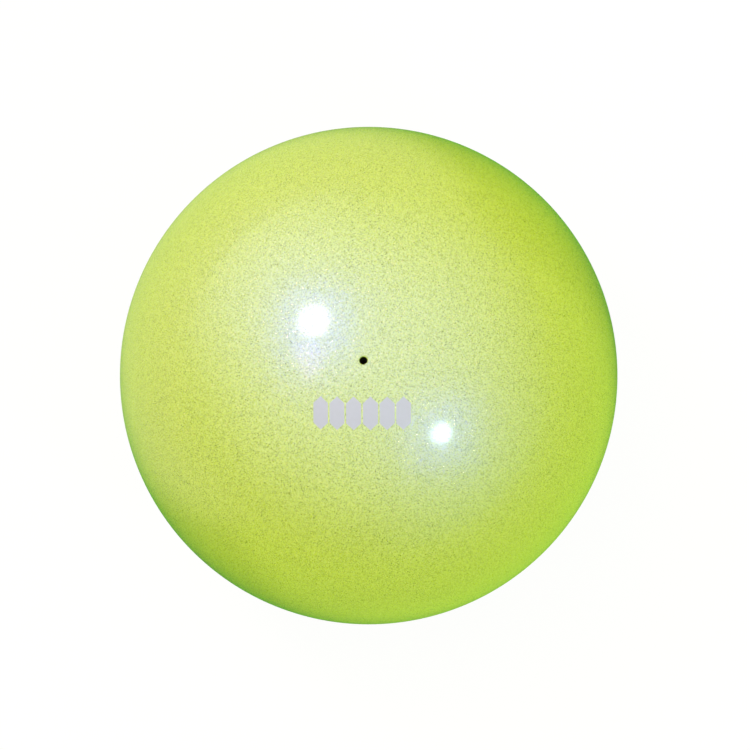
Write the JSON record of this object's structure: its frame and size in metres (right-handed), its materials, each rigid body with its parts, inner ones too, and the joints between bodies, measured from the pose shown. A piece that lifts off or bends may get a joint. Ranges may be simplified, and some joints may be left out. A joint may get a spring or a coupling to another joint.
{
  "type": "rhythmic gymnastics ball",
  "caption": "Lime glitter rhythmic gymnastics ball: a hollow rubber ball with a clear glossy coat and a needle valve.",
  "frame": {"origin": "centre of the ball", "axes": "+Z runs out through the needle hole, and X and Y lie in the plane of the seam"},
  "size_m": [0.185, 0.185, 0.185],
  "materials": {
    "wall_rubber": "matte",
    "patch_rubber": "matte",
    "black_rubber": "matte",
    "lime_coat": "satin",
    "glitter_lacquer": "gloss"
  },
  "bodies": {
    "root": {"rear_half_shell": "wall_rubber", "front_half_shell": "wall_rubber", "valve_housing": "patch_rubber", "valve_core": "black_rubber", "colour_coat": "lime_coat", "glitter_coat": "glitter_lacquer"}
  },
  "joints": []
}
